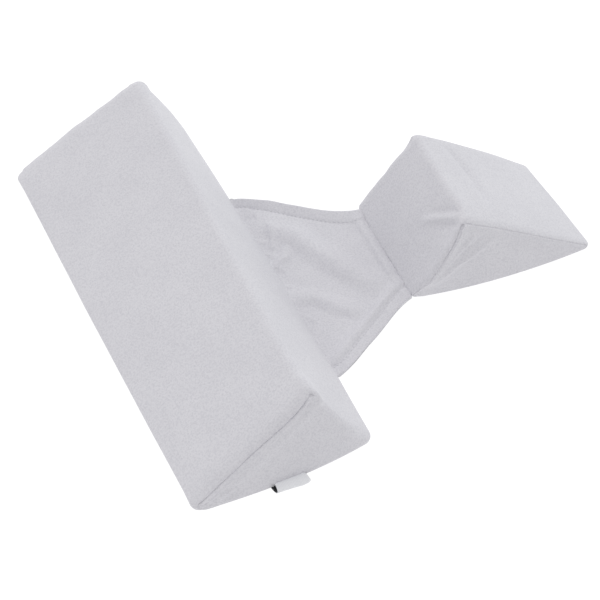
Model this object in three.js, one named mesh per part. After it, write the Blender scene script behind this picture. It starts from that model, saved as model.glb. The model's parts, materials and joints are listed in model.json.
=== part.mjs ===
// Side sleep pillow: a long and a short wedge cushion in pale terry covers, joined by a soft cloth bridge.
// Millimetres, +Z up. The plan is drawn from the large wedge's near left floor corner, with +X towards the
// small wedge and +Y towards the far end. The group then brings the middle of the footprint to the origin.
import * as THREE from 'three';

// Plan of the whole pillow
const footprintMiddle = new THREE.Vector2(175.6, 164.2);
const pieceGap = 0.3;

// Both wedges are foam blocks of one height. Each lists the floor corners and the ridge end of its two ends,
// the radius of its three long edges, how full its covered faces stand and how its long edges bow. A face's end
// seam says how far it is sewn, and along the face from left to right the inset and depth of its groove and how
// many times wider the turn is on the end than on the face.
const wedgeHeight = 61;

const largeWedge = {
  near: { left: [1.6, -1.3], ridge: [91, 12.5], right: [132, 1] },
  far: { left: [-1.7, 338.6], ridge: [97.4, 338.5], right: [131.4, 338.8] },
  radius: { left: 2.2, ridge: 6.2, right: 3 },
  crown: { leftFace: 2, rightFace: 1.2 },
  // Near the near end the right face is drawn in, by this much at the end itself, over a share of the length
  drawnIn: { depth: 3.4, reach: 0.07 },
  endBulge: { near: 4.2, far: 1 },
  edgeBow: { left: -0.9, right: 2.4 },
  endSeam: {
    leftFace: {
      sewn: 1, inset: [[0, 1.8], [0.5, 2], [0.75, 3.2], [1, 4.2]], depth: [[0, 1.6], [0.6, 1.5], [1, 1.1]],
      spread: [[0, 1], [1, 1]],
    },
    rightFace: {
      sewn: 0, inset: [[0, 4.2], [1, 1.8]], depth: [[0, 1.1], [1, 1.6]],
      spread: [[0, 1], [0.15, 1.6], [0.3, 2], [0.6, 2], [0.8, 1.4], [1, 1]],
    },
  },
  // How far the near end's left and right edges stand out from its plane at each share of the height, and how far
  // across the end that is felt
  edgeOut: {
    left: [[0, 0.4], [0.3, 0.6], [0.5, 1.3], [0.7, 1.8], [0.87, 1.9], [0.95, 1], [1, 0.4]],
    right: [[0, 0], [0.15, 0.5], [0.3, 2], [0.45, 3], [0.6, 2.5], [0.8, 1], [1, 0]],
    reach: 26,
  },
  turnSize: { leftFoot: 0.55, left: 0.6, ridge: 0.5, right: 1.05, rightFoot: 0.85, base: 0.3 },
  turnArch: { leftFace: 0, rightFace: 1.3, base: 0 },
  // The ridge is drawn over at its two ends, so that between them it lies further from the bridge
  ridgeDrift: [
    { along: 0, shift: 0 },
    { along: 0.06, shift: -2.6 },
    { along: 0.12, shift: -3.6 },
    { along: 0.24, shift: -2.8 },
    { along: 0.5, shift: -2.1 },
    { along: 0.62, shift: -0.9 },
    { along: 0.85, shift: -0.3 },
    { along: 1, shift: 0 },
  ],
  sections: 14,
};

const smallWedge = {
  near: { left: [212.4, 103.8], ridge: [251, 105], right: [353, 94.8] },
  far: { left: [216.1, 199.8], ridge: [261.2, 200], right: [350.3, 188.4] },
  radius: { left: 3, ridge: 4.8, right: 2.2 },
  crown: { leftFace: 0.2, rightFace: 1.6 },
  drawnIn: { depth: 0, reach: 0.07 },
  endBulge: { near: 4.4, far: 1 },
  edgeBow: { left: -0.4, right: 0.5 },
  endSeam: {
    leftFace: {
      sewn: 1, inset: [[0, 2], [0.5, 2.6], [1, 3]], depth: [[0, 0.3], [0.5, 0.6], [0.8, 1], [1, 1.6]],
      spread: [[0, 1], [1, 1]],
    },
    rightFace: {
      sewn: 0.5, inset: [[0, 3], [0.2, 1.2], [1, 1.2]], depth: [[0, 1.1], [0.3, 0.8], [1, 0.8]],
      spread: [[0, 1], [1, 1]],
    },
  },
  edgeOut: {
    left: [[0, -1], [0.1, -0.8], [0.2, 1], [0.3, 3.2], [0.4, 3.2], [0.6, 2.5], [0.75, 2.7], [0.87, 2], [1, 1]],
    right: [[0, 0], [1, 0]],
    reach: 30,
  },
  turnSize: { leftFoot: 0.5, left: 0.5, ridge: 0.45, right: 0.5, rightFoot: 0.4, base: 0.3 },
  turnArch: { leftFace: 0, rightFace: 0, base: 0 },
  ridgeDrift: [
    { along: 0, shift: 0 },
    { along: 0.08, shift: 2.8 },
    { along: 0.17, shift: 3.8 },
    { along: 0.3, shift: 3 },
    { along: 0.45, shift: 1.9 },
    { along: 0.7, shift: 0.5 },
    { along: 1, shift: 0 },
  ],
  sections: 7,
};

// Steps round the three long edges and across the faces of a wedge
const edgeSteps = { left: 3, ridge: 7, right: 4 };
const faceSteps = { leftFace: 7, rightFace: 5, base: 7 };

// How a wedge turns over into its end. Inset is how far the outline has drawn in, and depth is how far it lies
// behind the end face. The plain columns are a soft fold. A sewn edge rolls down into a stitched groove and up
// again: each row gives shares of the groove's own inset and depth, and what is added to them.
// A wedge's turnSize says what share of the turn each edge of its ends has: round the base it is nearly a corner.
// Its turnArch says how much softer the turn is at the middle of a face.
const endTurn = [
  { plainInset: 0, plainDepth: 7, insetShare: 0, insetPlus: 0, depthShare: 0, depthPlus: 7 },
  { plainInset: 0.3, plainDepth: 4.6, insetShare: 0.06, insetPlus: 0, depthShare: 1, depthPlus: 2.4 },
  { plainInset: 1, plainDepth: 2.9, insetShare: 0.3, insetPlus: 0, depthShare: 1, depthPlus: 1 },
  { plainInset: 1.8, plainDepth: 1.8, insetShare: 0.7, insetPlus: 0, depthShare: 1, depthPlus: 0.25 },
  { plainInset: 2.9, plainDepth: 1, insetShare: 1, insetPlus: 0, depthShare: 1, depthPlus: 0 },
  { plainInset: 4.2, plainDepth: 0.4, insetShare: 1, insetPlus: 0.5, depthShare: 0.45, depthPlus: 0 },
  { plainInset: 5.8, plainDepth: 0.1, insetShare: 1, insetPlus: 1.8, depthShare: 0.1, depthPlus: 0 },
  { plainInset: 9, plainDepth: 0, insetShare: 0, insetPlus: 9.5, depthShare: 0.05, depthPlus: 0 },
];
const endRings = [0.68, 0.36];
const leastWidth = 0.001;

// Cloth bridge: a sheet from the large wedge's right floor edge to the small wedge's left floor edge. Its hem
// lines are shares of a hem's width, where the last two lie beside the hem. Its tuck is the width beside both
// wedges over which the cloth comes down to the floor.
const bridge = {
  thickness: 2.4,
  tuck: 1.5,
  hemExtra: 0.9,
  hemLines: [0, 0.33, 0.66, 0.94, 1, 1.3, 1.7],
  hemThickTo: 0.97,
  columns: 28,
  innerRows: 28,
  nearEdge: [[0, 60.5], [0.5, 81.8], [1, 104.4]],
  nearHemWidth: [[0, 12], [1, 12]],
  farEdge: [[0, 244.8], [0.27, 232.9], [0.5, 217.8], [0.75, 203.9], [1, 197.2]],
  farHemWidth: [[0, 7], [0.3, 10.5], [1, 11]],
  farHemLift: [[0, 3.4], [0.4, 3.4], [0.75, 2.6], [1, 1.5]],
  farHemRoll: { inside: 3.2, toHem: 2, away: 12, rise: [[0, 1.8], [0.3, 1.8], [0.5, 0.8], [0.7, 0.2], [1, 0]] },
};

// Folds of the bridge: the line of each crest in plan, how far its slopes reach to the left and the right of
// that line, looking along it, and how high it stands. Each fold starts and stops a little way in from its ends.
const foldStations = 16;
const foldEnds = 0.04;
const bridgeFolds = [
  {
    name: 'long fold', crest: [[144.3, 213], [161.3, 191], [173.3, 164], [185.3, 140], [199.5, 117.5]],
    left: 17, right: 15, rise: 5,
  },
  { name: 'middle fold', crest: [[131, 139.5], [149, 132.5], [162, 117], [176, 106]], left: 13, right: 10, rise: 2.4 },
  { name: 'near hem puff', crest: [[134, 74], [157, 87], [182, 101.5], [210, 117.5]], left: 8, right: 14, rise: 2.2 },
  { name: 'wedge roll', crest: [[208, 120], [208.8, 150], [210, 190]], left: 5, right: 9, rise: 3 },
  { name: 'short fold', crest: [[137, 168], [147, 179], [156, 189]], left: 8, right: 8, rise: 1.8 },
];

// Woven label: a tape folded double, its ends caught in the bottom seam
const label = {
  fromX: 54.6,
  toX: 79,
  reach: 6,
  seamHeight: 3.6,
  foldHeight: 1.5,
  underside: 0.4,
  tape: 0.7,
  mouth: 0.2,
  foldSteps: 6,
};

const terryCloth = { color: 0xccccd1, roughness: 0.95, metalness: 0 };
const wovenTape = { color: 0xb9bcc2, roughness: 0.8, metalness: 0 };

// Value of a smooth line through rows of [position, value]
function along(rows, position) {
  const last = rows.length - 1;
  let row = 0;
  while (row < last - 1 && position > rows[row + 1][0]) row += 1;
  const share = (position - rows[row][0]) / (rows[row + 1][0] - rows[row][0]);
  const value = (index) => rows[THREE.MathUtils.clamp(index, 0, last)][1];
  const curve = new THREE.CatmullRomCurve3(
    [row - 1, row, row + 1, row + 2].map((index) => new THREE.Vector3(value(index), 0, 0)),
    false, 'catmullrom',
  );
  return curve.getPoint((1 + THREE.MathUtils.clamp(share, 0, 1)) / 3).x;
}

// Floor position of one corner line of a wedge, from 0 at its near end to 1 at its far end
function cornerLine(wedge, corner, share) {
  const place = new THREE.Vector2(...wedge.near[corner]).lerp(new THREE.Vector2(...wedge.far[corner]), share);
  if (corner === 'ridge') {
    place.x += along(wedge.ridgeDrift.map((row) => [row.along, row.shift]), share);
  } else {
    place.x += wedge.edgeBow[corner] * Math.sin(Math.PI * share);
  }
  return place;
}

// Direction square to the line that touches two circles, on the left of the way from the first to the second
function touchingNormal(first, second) {
  const way = new THREE.Vector2(second.x - first.x, second.z - first.z);
  const lean = (first.r - second.r) / way.length();
  way.normalize();
  const square = new THREE.Vector2(-way.y, way.x);
  return way.multiplyScalar(lean).add(square.multiplyScalar(Math.sqrt(1 - lean * lean)));
}

function seamAt(seam, part) {
  const [inset, depth, spread] = ['inset', 'depth', 'spread'].map((key) => along(seam[key], part));
  return { sewn: seam.sewn, inset, depth, spread };
}

function blendSeams(from, to, part) {
  return {
    sewn: THREE.MathUtils.lerp(from.sewn, to.sewn, part),
    inset: THREE.MathUtils.lerp(from.inset, to.inset, part),
    depth: THREE.MathUtils.lerp(from.depth, to.depth, part),
    spread: THREE.MathUtils.lerp(from.spread, to.spread, part),
  };
}

// Points of one cross-section in the XZ plane, from the left edge over the ridge to the right edge and back
// along the base. Each point carries the seam that it lies by and how large the end turn is there.
function wedgeProfile(wedge, share) {
  const { radius, crown, drawnIn, endSeam, turnSize: size, turnArch } = wedge;
  const unsewn = (face, part) => ({ ...seamAt(endSeam[face], part), sewn: 0 });
  const circle = (corner, z) => ({ x: cornerLine(wedge, corner, share).x, z, r: radius[corner] });
  const left = circle('left', radius.left);
  const ridge = circle('ridge', wedgeHeight - radius.ridge);
  const right = circle('right', radius.right);
  left.x += radius.left;
  right.x -= radius.right;
  const down = new THREE.Vector2(0, -1);
  const leftNormal = touchingNormal(left, ridge);
  const rightNormal = touchingNormal(ridge, right);
  const points = [];

  function addArc(corner, name, from, to, seamFrom, seamTo, sizeFrom, sizeTo) {
    const start = Math.atan2(from.y, from.x);
    let turn = start - Math.atan2(to.y, to.x);
    if (turn < 0) turn += 2 * Math.PI;
    for (let step = 0; step <= edgeSteps[name]; step += 1) {
      const part = step / edgeSteps[name];
      const angle = start - turn * part;
      points.push({
        x: corner.x + corner.r * Math.cos(angle),
        z: corner.z + corner.r * Math.sin(angle),
        seam: blendSeams(seamFrom, seamTo, part),
        size: THREE.MathUtils.lerp(sizeFrom, sizeTo, part),
      });
    }
  }

  function addFace(name, to, normal, sizeTo, fullness, seamOf) {
    const from = points[points.length - 1];
    for (let step = 1; step < faceSteps[name]; step += 1) {
      const part = step / faceSteps[name];
      const arch = 4 * part * (1 - part);
      const seam = seamOf(part);
      const plainSize = sizeTo + (from.size - sizeTo) * (1 - part) ** 3 + turnArch[name] * arch;
      points.push({
        x: THREE.MathUtils.lerp(from.x, to.x + to.r * normal.x, part) + normal.x * fullness * arch,
        z: THREE.MathUtils.lerp(from.z, to.z + to.r * normal.y, part) + normal.y * fullness * arch,
        seam,
        size: THREE.MathUtils.lerp(plainSize, 1, seam.sewn * Math.sqrt(arch)),
      });
    }
  }

  const leftSeam = (part) => seamAt(endSeam.leftFace, part);
  const rightSeam = (part) => seamAt(endSeam.rightFace, part);
  addArc(left, 'left', down, leftNormal, unsewn('leftFace', 0), leftSeam(0), size.leftFoot, size.left);
  addFace('leftFace', ridge, leftNormal, size.ridge, crown.leftFace, leftSeam);
  addArc(ridge, 'ridge', leftNormal, rightNormal, leftSeam(1), rightSeam(0), size.ridge, size.ridge);
  const rightCrown = crown.rightFace - drawnIn.depth * Math.exp(-((share / drawnIn.reach) ** 2));
  addFace('rightFace', right, rightNormal, size.right, rightCrown, rightSeam);
  addArc(right, 'right', rightNormal, down, rightSeam(1), unsewn('rightFace', 1), size.right, size.rightFoot);
  addFace('base', left, down, size.base, 0, () => unsewn('leftFace', 0));
  return points;
}

// Middle of the largest circle inside a cross-section's triangle, and its radius
function inscribedCircle(wedge, share) {
  const left = new THREE.Vector2(cornerLine(wedge, 'left', share).x, 0);
  const ridge = new THREE.Vector2(cornerLine(wedge, 'ridge', share).x, wedgeHeight);
  const right = new THREE.Vector2(cornerLine(wedge, 'right', share).x, 0);
  const sides = [ridge.distanceTo(right), right.distanceTo(left), left.distanceTo(ridge)];
  const around = sides[0] + sides[1] + sides[2];
  return {
    x: (sides[0] * left.x + sides[1] * ridge.x + sides[2] * right.x) / around,
    z: (sides[1] * wedgeHeight) / around,
    radius: (sides[1] * wedgeHeight) / around,
  };
}

// Y of a point of the slanted plane through the three corners of a cross-section
function sectionPlane(wedge, share, point) {
  const left = cornerLine(wedge, 'left', share);
  const ridge = cornerLine(wedge, 'ridge', share);
  const right = cornerLine(wedge, 'right', share);
  const height = point.z / wedgeHeight;
  const across = (point.x - left.x - height * (ridge.x - left.x)) / (right.x - left.x);
  return left.y + height * (ridge.y - left.y) + across * (right.y - left.y);
}

// How far an end stands out: most at the middle of its floor edge, and near its edges by their own measure
function endFullness(wedge, name, point) {
  const [left, ridge, right] = ['left', 'ridge', 'right'].map((corner) => wedge[name][corner][0]);
  const height = point.z / wedgeHeight;
  const across = THREE.MathUtils.clamp((point.x - left) / (right - left), 0, 1);
  let fullness = wedge.endBulge[name] * 4 * across * (1 - across) * (1 - height);
  if (name === 'near') {
    const width = (right - left) * Math.max(1 - height, leastWidth);
    const fromLeft = THREE.MathUtils.clamp(point.x - left - height * (ridge - left), 0, width);
    for (const [side, distance] of [['left', fromLeft], ['right', width - fromLeft]]) {
      const felt = Math.exp(-((distance / wedge.edgeOut.reach) ** 2));
      fullness += along(wedge.edgeOut[side], height) * (1 - distance / width) ** 2 * felt;
    }
  }
  return fullness;
}

// Rings of one end, from the full outline to the last ring inside the end face
function endOutlines(wedge, name) {
  const sign = name === 'near' ? 1 : -1;
  const end = name === 'near' ? 0 : 1;
  const length = wedge.far.left[1] - wedge.near.left[1];
  const place = (point, share, depth) => new THREE.Vector3(
    point.x,
    sectionPlane(wedge, share, point) + sign * (depth - endFullness(wedge, name, point)),
    point.z,
  );
  const rings = endTurn.map((row) => {
    const share = end + (sign * row.plainDepth) / length;
    const middle = inscribedCircle(wedge, share);
    return wedgeProfile(wedge, share).map((point) => {
      const { sewn, inset: grooveInset, depth: grooveDepth, spread } = point.seam;
      const sewnInset = row.insetShare * grooveInset + row.insetPlus;
      const sewnDepth = row.depthShare * grooveDepth + row.depthPlus;
      const inset = THREE.MathUtils.lerp(row.plainInset, sewnInset, sewn) * point.size;
      const depth = THREE.MathUtils.lerp((row.plainDepth * point.size) / spread, sewnDepth, sewn);
      const draw = inset / middle.radius;
      const drawn = {
        x: THREE.MathUtils.lerp(point.x, middle.x, draw),
        z: THREE.MathUtils.lerp(point.z, middle.z, draw),
      };
      return place(drawn, end, depth);
    });
  });
  const middle = inscribedCircle(wedge, end);
  const last = rings[rings.length - 1];
  for (const size of endRings) {
    rings.push(last.map((point) => place({
      x: THREE.MathUtils.lerp(middle.x, point.x, size),
      z: THREE.MathUtils.lerp(middle.z, point.z, size),
    }, end, 0)));
  }
  return { rings, centre: place(middle, end, 0) };
}

// Closed skin over a row of rings, with a fan from each outer ring to its centre
function ringSolid(rings, firstCentre, lastCentre) {
  const around = rings[0].length;
  const positions = rings.flat().concat([firstCentre, lastCentre]).flatMap((point) => point.toArray());
  const first = rings.length * around;
  const index = [];
  for (let ring = 0; ring < rings.length - 1; ring += 1) {
    for (let step = 0; step < around; step += 1) {
      const next = (step + 1) % around;
      const here = ring * around;
      const there = here + around;
      index.push(here + step, here + next, there + step);
      index.push(here + next, there + next, there + step);
    }
  }
  const lastRing = (rings.length - 1) * around;
  for (let step = 0; step < around; step += 1) {
    const next = (step + 1) % around;
    index.push(first, next, step);
    index.push(first + 1, lastRing + step, lastRing + next);
  }
  return solidGeometry(positions, index);
}

function solidGeometry(positions, index) {
  const geometry = new THREE.BufferGeometry();
  geometry.setAttribute('position', new THREE.Float32BufferAttribute(positions, 3));
  geometry.setIndex(index);
  geometry.computeVertexNormals();
  return geometry;
}

function wedgeGeometry(wedge) {
  const near = endOutlines(wedge, 'near');
  const far = endOutlines(wedge, 'far');
  const body = [];
  for (let section = 1; section < wedge.sections; section += 1) {
    const share = section / wedge.sections;
    body.push(wedgeProfile(wedge, share).map(
      (point) => new THREE.Vector3(point.x, sectionPlane(wedge, share, point), point.z),
    ));
  }
  const rings = [...near.rings.reverse(), ...body, ...far.rings];
  return ringSolid(rings, near.centre, far.centre);
}

// Share of the way along a wedge's floor edge at a given Y
function shareAt(wedge, corner, y) {
  return (y - wedge.near[corner][1]) / (wedge.far[corner][1] - wedge.near[corner][1]);
}

// Height that one fold gives to the cloth at a point of the plan
function foldHeight(fold, x, y) {
  const { line } = fold;
  let nearest = null;
  for (let step = 0; step < line.length - 1; step += 1) {
    const start = line[step];
    const way = line[step + 1].clone().sub(start);
    const offset = new THREE.Vector2(x, y).sub(start);
    const part = THREE.MathUtils.clamp(offset.dot(way) / way.lengthSq(), 0, 1);
    const distance = offset.sub(way.clone().multiplyScalar(part)).length();
    if (!nearest || distance < nearest.distance) {
      const side = way.x * (y - start.y) - way.y * (x - start.x);
      nearest = { distance, side, travel: (step + part) / (line.length - 1) };
    }
  }
  const reach = nearest.side > 0 ? fold.left : fold.right;
  if (nearest.distance >= reach) return 0;
  const slope = 0.5 + 0.5 * Math.cos((Math.PI * nearest.distance) / reach);
  const travel = THREE.MathUtils.lerp(foldEnds, 1 - foldEnds, nearest.travel);
  return fold.rise * slope * Math.sqrt(Math.sin(Math.PI * travel));
}

function withCrestLine(fold) {
  const curve = new THREE.SplineCurve(fold.crest.map((point) => new THREE.Vector2(...point)));
  return { ...fold, line: curve.getPoints(foldStations) };
}

// Folded sheet between the wedges, thicker where its two hems are turned under
function bridgeGeometry() {
  const folds = bridgeFolds.map(withCrestLine);
  const top = [];
  const bottom = [];
  for (let column = 0; column <= bridge.columns; column += 1) {
    const across = column / bridge.columns;
    const nearY = along(bridge.nearEdge, across);
    const farY = along(bridge.farEdge, across);
    const nearHem = along(bridge.nearHemWidth, across);
    const farHem = along(bridge.farHemWidth, across);
    const offsets = bridge.hemLines.map((line) => line * nearHem);
    const farOffsets = bridge.hemLines.map((line) => farY - nearY - line * farHem).reverse();
    const nearMargin = offsets[offsets.length - 1];
    for (let row = 1; row < bridge.innerRows; row += 1) {
      offsets.push(THREE.MathUtils.lerp(nearMargin, farOffsets[0], row / bridge.innerRows));
    }
    offsets.push(...farOffsets);
    const topLine = [];
    const bottomLine = [];
    for (const offset of offsets) {
      const y = nearY + offset;
      const leftX = cornerLine(largeWedge, 'right', shareAt(largeWedge, 'right', y)).x + pieceGap;
      const rightX = cornerLine(smallWedge, 'left', shareAt(smallWedge, 'left', y)).x - pieceGap;
      const x = THREE.MathUtils.lerp(leftX, rightX, across);
      const fromWedge = Math.min(x - leftX, rightX - x);
      const fromFar = farY - y;
      const settle = THREE.MathUtils.smoothstep(fromWedge, 0, bridge.tuck);
      let lift = folds.reduce((height, fold) => Math.max(height, foldHeight(fold, x, y)), 0) * settle;
      const hemShare = THREE.MathUtils.clamp(1 - fromFar / farHem, 0, 1);
      lift += along(bridge.farHemLift, across) * hemShare * settle;
      const { farHemRoll } = bridge;
      const fromRoll = fromFar - farHem - farHemRoll.inside;
      const rollShare = fromRoll / (fromRoll < 0 ? farHemRoll.toHem : farHemRoll.away);
      lift += along(farHemRoll.rise, across) * Math.exp(-(rollShare ** 2)) * settle;
      const inHem = Math.min(offset / nearHem, fromFar / farHem) < bridge.hemThickTo;
      const thickness = bridge.thickness + (inHem ? bridge.hemExtra : 0);
      bottomLine.push(new THREE.Vector3(x, y, lift));
      topLine.push(new THREE.Vector3(x, y, lift + thickness));
    }
    top.push(topLine);
    bottom.push(bottomLine);
  }
  return sheetSolid(top, bottom);
}

// Closed sheet from two matching grids of points, top over bottom
function sheetSolid(top, bottom) {
  const columns = top.length;
  const rows = top[0].length;
  const positions = [...top.flat(), ...bottom.flat()].flatMap((point) => point.toArray());
  const under = columns * rows;
  const at = (column, row) => column * rows + row;
  const index = [];
  const quad = (a, b, c, d) => index.push(a, b, d, b, c, d);
  for (let column = 0; column < columns - 1; column += 1) {
    for (let row = 0; row < rows - 1; row += 1) {
      const corners = [at(column, row), at(column + 1, row), at(column + 1, row + 1), at(column, row + 1)];
      quad(...corners);
      const [a, b, c, d] = corners.map((corner) => corner + under);
      quad(b, a, d, c);
    }
    quad(at(column, 0) + under, at(column + 1, 0) + under, at(column + 1, 0), at(column, 0));
    const edge = rows - 1;
    quad(at(column, edge), at(column + 1, edge), at(column + 1, edge) + under, at(column, edge) + under);
  }
  for (let row = 0; row < rows - 1; row += 1) {
    const edge = columns - 1;
    quad(at(0, row), at(0, row + 1), at(0, row + 1) + under, at(0, row) + under);
    quad(at(edge, row) + under, at(edge, row + 1) + under, at(edge, row + 1), at(edge, row));
  }
  return solidGeometry(positions, index);
}

// Flattened loop of tape, seen from its side: flat below, closed at the seam and round at the fold
function labelGeometry(width) {
  const { reach, seamHeight, foldHeight: fold, underside, tape, mouth, foldSteps } = label;
  const outline = new THREE.Shape();
  outline.moveTo(0, underside);
  outline.lineTo(reach - fold / 2, underside);
  outline.absarc(reach - fold / 2, underside + fold / 2, fold / 2, -Math.PI / 2, Math.PI / 2, false);
  outline.lineTo(0, underside + seamHeight);
  outline.closePath();
  const inside = new THREE.Path();
  inside.moveTo(tape, underside + tape);
  inside.lineTo(tape, underside + seamHeight - tape);
  inside.lineTo(reach - fold, underside + tape + mouth);
  inside.lineTo(reach - fold, underside + tape);
  inside.closePath();
  outline.holes.push(inside);
  return new THREE.ExtrudeGeometry(outline, { depth: width, bevelEnabled: false, curveSegments: foldSteps });
}

function namedMesh(name, geometry, finish) {
  const mesh = new THREE.Mesh(geometry, new THREE.MeshStandardMaterial(finish));
  mesh.name = name;
  return mesh;
}

// The label's seam lies along the near end of the large wedge, and touches its fullest point but for the gap
function sideLabel() {
  const foot = (x) => {
    const point = { x, z: label.underside + label.foldHeight / 2 };
    return new THREE.Vector3(x, sectionPlane(largeWedge, 0, point) - endFullness(largeWedge, 'near', point), 0);
  };
  const start = foot(label.toX);
  const seam = foot(label.fromX).sub(start);
  const outward = new THREE.Vector3(-seam.y, seam.x, 0).normalize();
  const up = new THREE.Vector3(0, 0, 1);
  const mesh = namedMesh('side_label', labelGeometry(seam.length()), wovenTape);
  mesh.setRotationFromMatrix(new THREE.Matrix4().makeBasis(outward, up, seam.clone().normalize()));
  const standsProud = foot((label.fromX + label.toX) / 2).sub(start).dot(outward);
  mesh.position.copy(start).addScaledVector(outward, standsProud + pieceGap);
  return mesh;
}

const pillow = new THREE.Group();
pillow.add(
  namedMesh('large_wedge', wedgeGeometry(largeWedge), terryCloth),
  namedMesh('small_wedge', wedgeGeometry(smallWedge), terryCloth),
  namedMesh('bridge_panel', bridgeGeometry(), terryCloth),
  sideLabel(),
);
pillow.position.set(-footprintMiddle.x, -footprintMiddle.y, 0);

export default pillow;
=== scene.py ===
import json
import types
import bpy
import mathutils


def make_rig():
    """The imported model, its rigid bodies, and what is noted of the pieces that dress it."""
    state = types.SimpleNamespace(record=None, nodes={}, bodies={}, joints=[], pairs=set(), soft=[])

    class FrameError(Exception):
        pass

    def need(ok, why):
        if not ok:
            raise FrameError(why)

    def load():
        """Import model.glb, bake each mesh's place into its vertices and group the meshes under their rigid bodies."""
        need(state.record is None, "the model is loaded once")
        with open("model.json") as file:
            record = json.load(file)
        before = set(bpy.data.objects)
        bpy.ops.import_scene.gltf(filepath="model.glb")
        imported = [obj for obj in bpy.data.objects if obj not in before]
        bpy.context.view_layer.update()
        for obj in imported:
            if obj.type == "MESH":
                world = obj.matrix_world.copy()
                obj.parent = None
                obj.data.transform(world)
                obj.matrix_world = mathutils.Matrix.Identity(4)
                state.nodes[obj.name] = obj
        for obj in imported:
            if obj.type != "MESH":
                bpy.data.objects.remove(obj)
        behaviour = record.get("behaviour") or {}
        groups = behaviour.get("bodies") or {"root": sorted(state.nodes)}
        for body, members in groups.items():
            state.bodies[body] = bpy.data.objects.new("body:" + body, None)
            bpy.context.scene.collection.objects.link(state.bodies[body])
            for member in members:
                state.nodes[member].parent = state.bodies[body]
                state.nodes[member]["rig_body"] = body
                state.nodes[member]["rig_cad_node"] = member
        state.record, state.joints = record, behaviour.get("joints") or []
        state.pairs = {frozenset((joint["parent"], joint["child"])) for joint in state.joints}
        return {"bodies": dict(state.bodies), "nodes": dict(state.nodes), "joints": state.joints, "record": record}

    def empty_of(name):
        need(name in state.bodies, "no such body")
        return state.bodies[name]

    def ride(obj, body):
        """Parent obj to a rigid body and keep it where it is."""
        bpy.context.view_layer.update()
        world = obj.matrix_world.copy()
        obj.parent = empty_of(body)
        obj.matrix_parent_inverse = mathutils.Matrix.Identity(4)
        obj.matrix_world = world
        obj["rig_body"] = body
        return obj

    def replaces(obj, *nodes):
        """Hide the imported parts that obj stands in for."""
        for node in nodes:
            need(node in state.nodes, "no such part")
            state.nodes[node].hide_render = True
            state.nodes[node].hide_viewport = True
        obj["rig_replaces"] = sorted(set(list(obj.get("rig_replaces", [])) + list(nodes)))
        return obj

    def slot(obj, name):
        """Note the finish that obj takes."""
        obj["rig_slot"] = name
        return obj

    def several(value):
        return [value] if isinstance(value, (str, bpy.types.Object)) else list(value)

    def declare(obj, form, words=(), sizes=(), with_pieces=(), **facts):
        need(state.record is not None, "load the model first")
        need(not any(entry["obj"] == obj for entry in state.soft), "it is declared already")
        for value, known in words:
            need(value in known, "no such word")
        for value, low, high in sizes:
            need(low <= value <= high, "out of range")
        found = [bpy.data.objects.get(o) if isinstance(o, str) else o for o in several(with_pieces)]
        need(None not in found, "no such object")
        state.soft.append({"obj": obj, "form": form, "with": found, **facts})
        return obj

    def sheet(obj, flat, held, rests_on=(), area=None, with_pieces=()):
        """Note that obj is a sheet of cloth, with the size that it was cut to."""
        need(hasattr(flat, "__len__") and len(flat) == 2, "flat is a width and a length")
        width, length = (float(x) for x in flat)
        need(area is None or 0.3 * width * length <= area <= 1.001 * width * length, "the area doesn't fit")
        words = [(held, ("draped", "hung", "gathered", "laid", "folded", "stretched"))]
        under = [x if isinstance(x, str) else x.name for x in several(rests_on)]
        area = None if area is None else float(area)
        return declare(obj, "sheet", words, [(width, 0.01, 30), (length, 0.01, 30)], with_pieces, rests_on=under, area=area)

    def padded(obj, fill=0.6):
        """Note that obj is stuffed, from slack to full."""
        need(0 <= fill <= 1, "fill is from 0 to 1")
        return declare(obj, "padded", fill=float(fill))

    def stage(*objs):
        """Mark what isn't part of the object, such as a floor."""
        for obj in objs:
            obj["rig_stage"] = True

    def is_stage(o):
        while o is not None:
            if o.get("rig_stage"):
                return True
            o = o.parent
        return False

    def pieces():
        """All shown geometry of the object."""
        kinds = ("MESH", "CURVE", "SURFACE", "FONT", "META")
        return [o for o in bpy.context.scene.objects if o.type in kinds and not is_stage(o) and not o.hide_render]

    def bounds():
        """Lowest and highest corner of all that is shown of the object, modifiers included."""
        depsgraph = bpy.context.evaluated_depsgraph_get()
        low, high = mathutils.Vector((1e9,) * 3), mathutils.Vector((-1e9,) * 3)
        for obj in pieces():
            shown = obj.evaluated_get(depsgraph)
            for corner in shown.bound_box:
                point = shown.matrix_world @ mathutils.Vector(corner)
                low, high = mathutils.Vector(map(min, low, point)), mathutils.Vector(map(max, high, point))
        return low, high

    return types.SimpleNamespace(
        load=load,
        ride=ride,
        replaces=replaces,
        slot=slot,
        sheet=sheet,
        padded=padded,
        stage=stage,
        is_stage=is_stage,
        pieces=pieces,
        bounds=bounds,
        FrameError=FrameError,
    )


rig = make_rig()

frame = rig.load()
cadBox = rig.bounds()

import json
import math
from functools import partial

import bpy
import numpy as np
from mathutils import Vector, noise

# Side sleep pillow: two foam wedges in terry covers and the cloth bridge between them.
# Plan sizes are millimetres from the large wedge's near left floor corner, as in the part's source.
plan = {
    "footprintMiddle": (175.6, 164.2),
    "millimetre": 0.001,
    "wedgeHeight": 61,
    "leastShare": 0.001,  # keeps an end's width above zero at the ridge
    "sizeFile": "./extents.json",
}
metre = 1 / plan["millimetre"]  # in millimetres


def toFrame(points):
    # From the plan in millimetres to the frame in metres
    moved = np.array(points, float)
    moved[..., 0] -= plan["footprintMiddle"][0]
    moved[..., 1] -= plan["footprintMiddle"][1]
    return moved * plan["millimetre"]


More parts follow.
